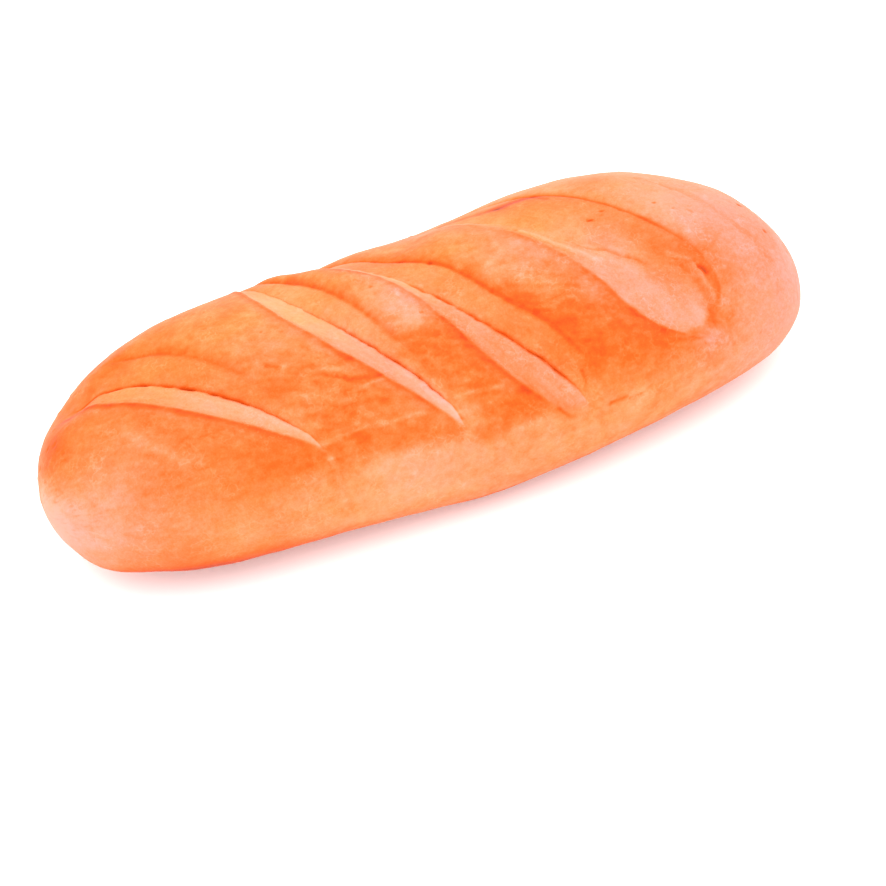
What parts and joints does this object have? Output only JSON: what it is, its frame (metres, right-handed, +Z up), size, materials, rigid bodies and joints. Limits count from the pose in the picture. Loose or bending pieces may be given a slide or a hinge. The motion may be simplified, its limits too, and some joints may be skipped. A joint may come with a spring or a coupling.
{
  "type": "long white loaf",
  "caption": "Long white loaf of bread with blunt round ends, a flat base and a glossy browned crown scored with slanting cuts that opened in the oven.",
  "frame": {"origin": "on the flat base, under the middle of the loaf's box", "axes": "+X along the loaf, -Y the front, towards which the cuts slant from left to right, +Z up"},
  "size_m": [0.2798, 0.1084, 0.0682],
  "materials": {
    "crust": "satin browned bread crust, deep orange on the crown, pale peach in the cuts and low on the sides"
  },
  "bodies": {
    "root": {"loaf": "crust"}
  },
  "joints": []
}
